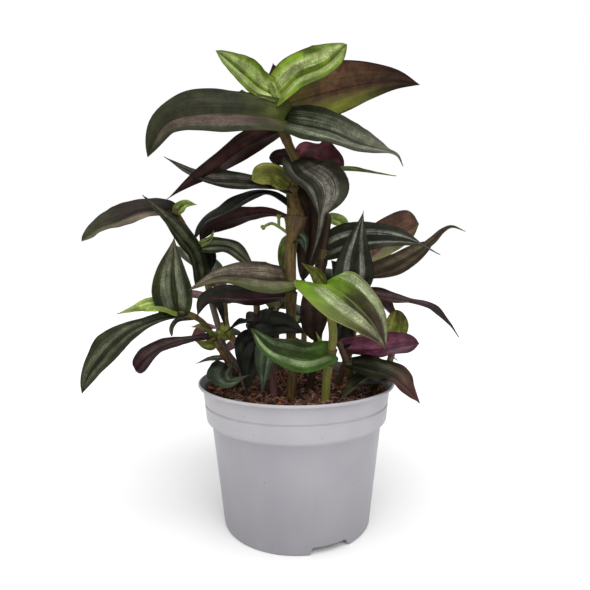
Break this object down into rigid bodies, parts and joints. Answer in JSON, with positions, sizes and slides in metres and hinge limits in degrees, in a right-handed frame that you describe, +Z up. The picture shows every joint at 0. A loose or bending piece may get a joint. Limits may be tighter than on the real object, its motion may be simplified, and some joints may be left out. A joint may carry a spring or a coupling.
{
  "type": "potted inch plant",
  "caption": "Trailing houseplant with silver-banded purple-green leaves on upright stems, standing in potting mix in a plain round nursery pot.",
  "frame": {"origin": "centre of the pot's flat underside, on the pot's axis", "axes": "+Z up along the pot's axis, -Y towards the side that the picture shows, +X to that viewer's right"},
  "size_m": [0.2335, 0.1788, 0.2821],
  "materials": {
    "pot": "satin, injection moulded",
    "potting_mix": "rough bark and fibre",
    "foliage": "satin leaf, silver bands over green and purple"
  },
  "bodies": {
    "root": {"pot": "pot", "potting_mix": "potting_mix", "leafy_stem_main": "foliage", "leafy_stem_front": "foliage", "leafy_stem_middle": "foliage", "leafy_stem_right": "foliage", "leafy_stem_low_right": "foliage", "leafy_stem_rim_right": "foliage", "leafy_stem_left_low": "foliage", "leafy_stem_left_high": "foliage", "leafy_stem_centre_left": "foliage", "leafy_stem_low_centre": "foliage", "leafy_stem_back_left": "foliage", "leafy_stem_back_centre": "foliage", "leafy_stem_back_right": "foliage", "leafy_stem_back": "foliage"}
  },
  "joints": []
}
